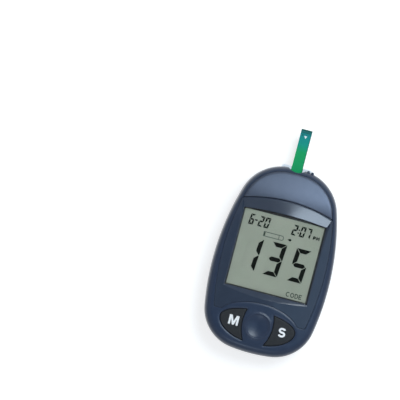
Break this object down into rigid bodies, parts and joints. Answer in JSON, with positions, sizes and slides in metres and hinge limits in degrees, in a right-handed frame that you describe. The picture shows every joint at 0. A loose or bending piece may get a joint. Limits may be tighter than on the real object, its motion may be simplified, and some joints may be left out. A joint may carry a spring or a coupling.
{
  "type": "blood glucose meter",
  "caption": "Palm-size meter with an egg-shaped case, segment display, two rubber keys beside a dished rest, test strip in a top port, code chip and coin cell bay.",
  "frame": {"origin": "centre of the flat back face, halfway along the case", "axes": "+Z out of the display, +Y towards the strip port, +X to the reader's right"},
  "size_m": [0.058, 0.1114, 0.021],
  "materials": {
    "case_navy": "satin moulded navy ABS",
    "bezel_gloss": "gloss navy acrylic panel",
    "cap_satin": "satin slate-blue plate",
    "clear_lens": "clear polycarbonate lens",
    "lcd_glass": "grey-green liquid crystal cell",
    "holder_white": "white ABS frame",
    "zebra_rubber": "layered silicone",
    "board_green": "solder-masked glass epoxy",
    "chip_black": "moulded epoxy package",
    "steel_bright": "plain steel",
    "ceramic_tan": "chip capacitor ceramic",
    "carbon_pad": "carbon ink",
    "key_rubber": "black silicone rubber",
    "carbon_pill": "conductive rubber",
    "web_rubber": "grey silicone rubber",
    "guide_white": "white ABS",
    "socket_cream": "nylon socket",
    "gold_spring": "gold-plated spring bronze",
    "strip_green": "printed polyester",
    "slide_black": "dark acetal",
    "chip_grip": "dark grey ABS",
    "cell_nickel": "nickel-plated steel can",
    "label_paper": "blank silver-white label"
  },
  "bodies": {
    "case": {"rear_cover": "case_navy", "front_cover": "case_navy", "top_cap": "cap_satin", "display_bezel": "bezel_gloss", "display_window": "clear_lens", "lcd_panel": "lcd_glass", "lcd_holder": "holder_white", "zebra_connectors": "zebra_rubber", "circuit_board": "board_green", "microcontroller": "chip_black", "crystal": "steel_bright", "buzzer": "chip_black", "board_components": "ceramic_tan", "key_contact_pads": "carbon_pad", "keypad_mat": "web_rubber", "m_key_web": "web_rubber", "s_key_web": "web_rubber", "strip_port_guide": "guide_white", "strip_connector": "socket_cream", "strip_contacts": "gold_spring", "code_chip_socket": "socket_cream", "code_chip_pins": "gold_spring", "data_jack": "chip_black", "coin_cell": "cell_nickel", "battery_contact_positive": "steel_bright", "battery_contact_negative": "steel_bright", "rear_label": "label_paper", "case_screws": "steel_bright"},
    "m_key": {"m_button": "key_rubber", "m_contact_pill": "carbon_pill"},
    "s_key": {"s_button": "key_rubber", "s_contact_pill": "carbon_pill"},
    "ejector": {"ejector_slider": "slide_black", "ejector_pusher": "slide_black"},
    "strip": {"test_strip": "strip_green"},
    "chip": {"code_chip": "chip_grip"},
    "battery_door": {"battery_cover": "case_navy"}
  },
  "joints": [
    {"name": "m_press", "type": "slide", "parent": "case", "child": "m_key", "axis": [0, 0, -1], "range_m": [0, 0.001], "stiffness_N_per_m": 1000, "springref_m": -0.0005, "deforming": ["m_key_web"]},
    {"name": "s_press", "type": "slide", "parent": "case", "child": "s_key", "axis": [0, 0, -1], "range_m": [0, 0.001], "stiffness_N_per_m": 1000, "springref_m": -0.0005, "deforming": ["s_key_web"]},
    {"name": "eject_slide", "type": "slide", "parent": "case", "child": "ejector", "axis": [0, 1, 0], "range_m": [0, 0.008]},
    {"name": "strip_slide", "type": "slide", "parent": "ejector", "child": "strip", "axis": [0, 1, 0], "range_m": [0, 0.0145]},
    {"name": "chip_slide", "type": "slide", "parent": "case", "child": "chip", "axis": [-1, 0, 0], "range_m": [0, 0.0145]},
    {"name": "door_hinge", "type": "hinge", "parent": "case", "child": "battery_door", "pos_m": [0, -0.037, 0], "axis": [-1, 0, 0], "range_deg": [0, 60]}
  ]
}
